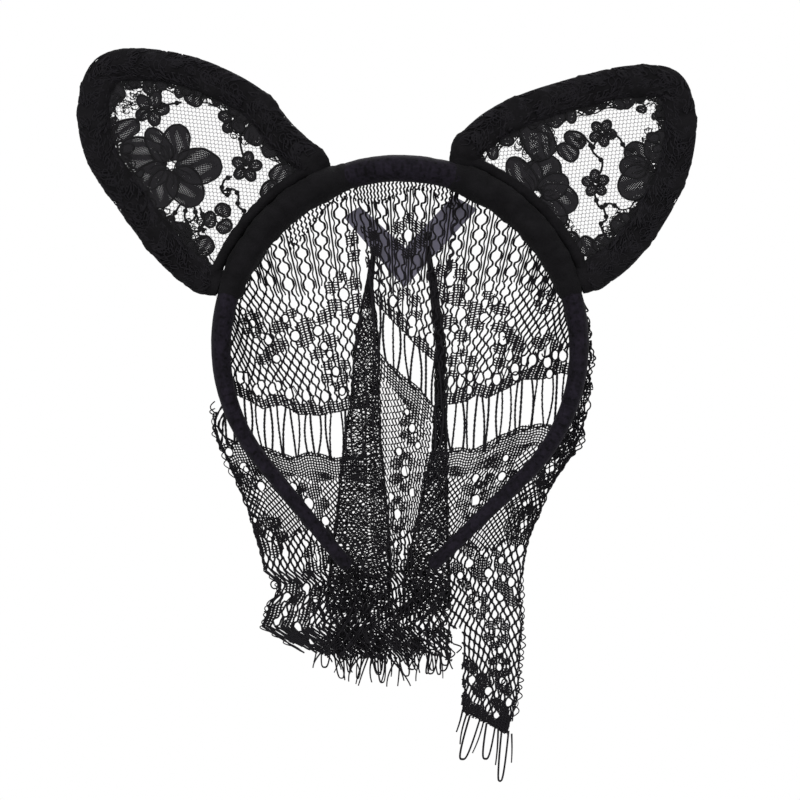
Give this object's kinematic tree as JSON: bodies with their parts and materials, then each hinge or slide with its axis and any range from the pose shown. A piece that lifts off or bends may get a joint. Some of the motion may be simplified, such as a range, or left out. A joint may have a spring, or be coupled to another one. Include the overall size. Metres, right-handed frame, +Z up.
{
  "type": "animal ears headband",
  "caption": "Cat-ear headband with padded ear rims, floral lace insets, and a two-tier eyelash-lace veil that hangs from the crown.",
  "frame": {"origin": "flat facet in the middle of the crown's inner side, where the band rests on the head", "axes": "+Z up as worn, +X from the left ear to the right ear as seen from the front, -Y towards the viewer, the veil on the +Y side"},
  "size_m": [0.2285, 0.0231, 0.2693],
  "materials": {
    "band_velvet": "black velvet with a violet cast, matt",
    "ear_plush": "black plush, padded",
    "black_lace": "open floral lace",
    "sheer_ribbon": "sheer grey violet ribbon",
    "foam": "soft foam",
    "spring_steel": "spring steel strip and wire",
    "black_thread": "twisted thread"
  },
  "bodies": {
    "root": {"band_cover_crown": "band_velvet", "band_foam_crown": "foam", "band_strip_crown": "spring_steel", "left_ear_collar": "ear_plush", "right_ear_collar": "ear_plush", "veil_header_tape": "black_lace", "veil_upper_lace": "black_lace", "gather_ribbon": "sheer_ribbon", "pleat_tack_left": "black_thread", "pleat_tack_right": "black_thread"},
    "left_arm": {"band_cover_left_arm": "band_velvet", "band_strip_left_arm": "spring_steel", "tip_cap_left": "band_velvet"},
    "left_ear": {"left_ear_rim": "ear_plush", "left_ear_wire": "spring_steel", "left_ear_lace": "black_lace", "left_ear_base_binding": "black_lace"},
    "right_arm": {"band_cover_right_arm": "band_velvet", "band_strip_right_arm": "spring_steel", "tip_cap_right": "band_velvet"},
    "right_ear": {"right_ear_rim": "ear_plush", "right_ear_wire": "spring_steel", "right_ear_lace": "black_lace", "right_ear_base_binding": "black_lace"},
    "veil_lower": {"veil_lower_lace": "black_lace", "veil_fringe": "black_thread", "tail_fringe": "black_thread"}
  },
  "joints": [
    {"name": "left_arm_flex", "type": "hinge", "parent": "root", "child": "left_arm", "pos_m": [-0.06423, 0, -0.04547], "axis": [0, 1, 0], "range_deg": [-6, 24], "stiffness_Nm_per_rad": 1.2},
    {"name": "left_ear_tilt", "type": "hinge", "parent": "root", "child": "left_ear", "pos_m": [-0.05271, 0, -0.00968], "axis": [0.7009, 0, 0.7133], "range_deg": [-30, 30]},
    {"name": "right_arm_flex", "type": "hinge", "parent": "root", "child": "right_arm", "pos_m": [0.06423, 0, -0.04547], "axis": [0, -1, 0], "range_deg": [-6, 24], "stiffness_Nm_per_rad": 1.2},
    {"name": "right_ear_tilt", "type": "hinge", "parent": "root", "child": "right_ear", "pos_m": [0.05271, 0, -0.00968], "axis": [0.7009, 0, -0.7133], "range_deg": [-30, 30]},
    {"name": "veil_lift", "type": "hinge", "parent": "root", "child": "veil_lower", "pos_m": [0, 0.0096, -0.08998], "axis": [1, 0, 0], "range_deg": [0, 110]}
  ]
}
